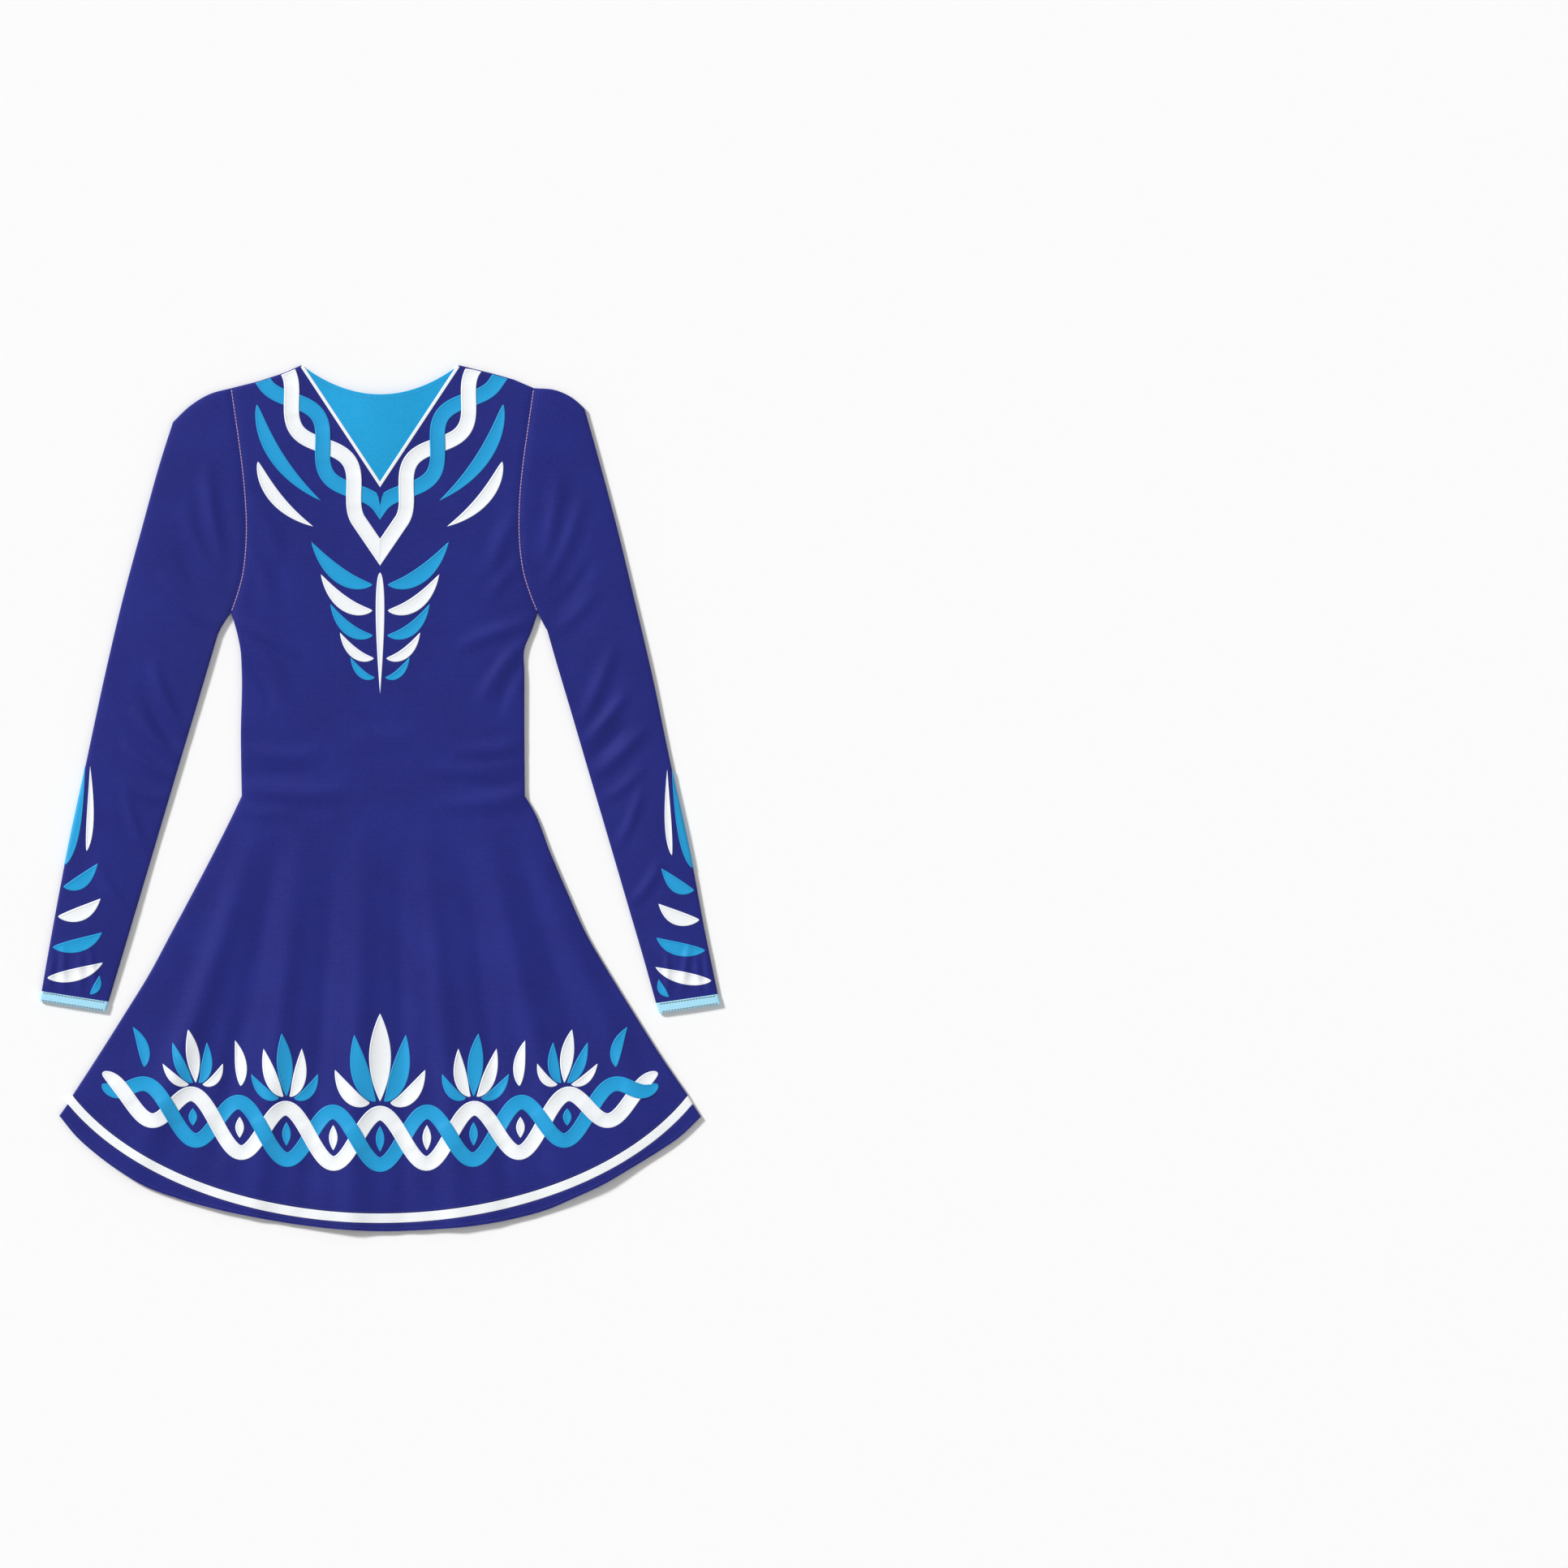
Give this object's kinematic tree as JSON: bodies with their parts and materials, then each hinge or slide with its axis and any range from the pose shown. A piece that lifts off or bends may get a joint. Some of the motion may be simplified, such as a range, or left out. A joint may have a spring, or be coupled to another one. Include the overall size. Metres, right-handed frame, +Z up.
{
  "type": "dance dress",
  "caption": "Long-sleeved stretch dance dress with a flared skirt, V yoke, hem stripe, cuff bands and a back neck zip, laid flat on its back.",
  "frame": {"origin": "on the surface that the dress lies on, under the middle of its box", "axes": "+X to the right of the view of the dress's front, across the sleeves; +Y from the hem to the neck; +Z up, out of the dress's front"},
  "size_m": [0.7132, 0.9069, 0.0076],
  "materials": {
    "dress_knit": "navy stretch knit with a soft sheen",
    "yoke_knit": "sky-blue stretch knit with a soft sheen",
    "stripe_knit": "white stretch knit",
    "cuff_elastic": "pale blue ribbed elastic",
    "zip_tape": "charcoal zip tape and coil",
    "zip_enamel": "charcoal enamel"
  },
  "bodies": {
    "dress": {"front_panel": "dress_knit", "back_panel": "dress_knit", "left_sleeve": "dress_knit", "right_sleeve": "dress_knit", "front_hem_border": "dress_knit", "back_hem_border": "dress_knit", "front_yoke": "yoke_knit", "back_yoke": "yoke_knit", "front_hem_stripe": "stripe_knit", "back_hem_stripe": "stripe_knit", "left_cuff_band": "cuff_elastic", "right_cuff_band": "cuff_elastic", "zip_chain": "zip_tape", "zip_slider": "zip_enamel"},
    "pull_tab": {"zip_pull_tab": "zip_enamel"}
  },
  "joints": [
    {"name": "pull_tab_swing", "type": "hinge", "parent": "dress", "child": "pull_tab", "pos_m": [0, 0.404, 0.002], "axis": [1, 0, 0], "range_deg": [0, 170]}
  ]
}
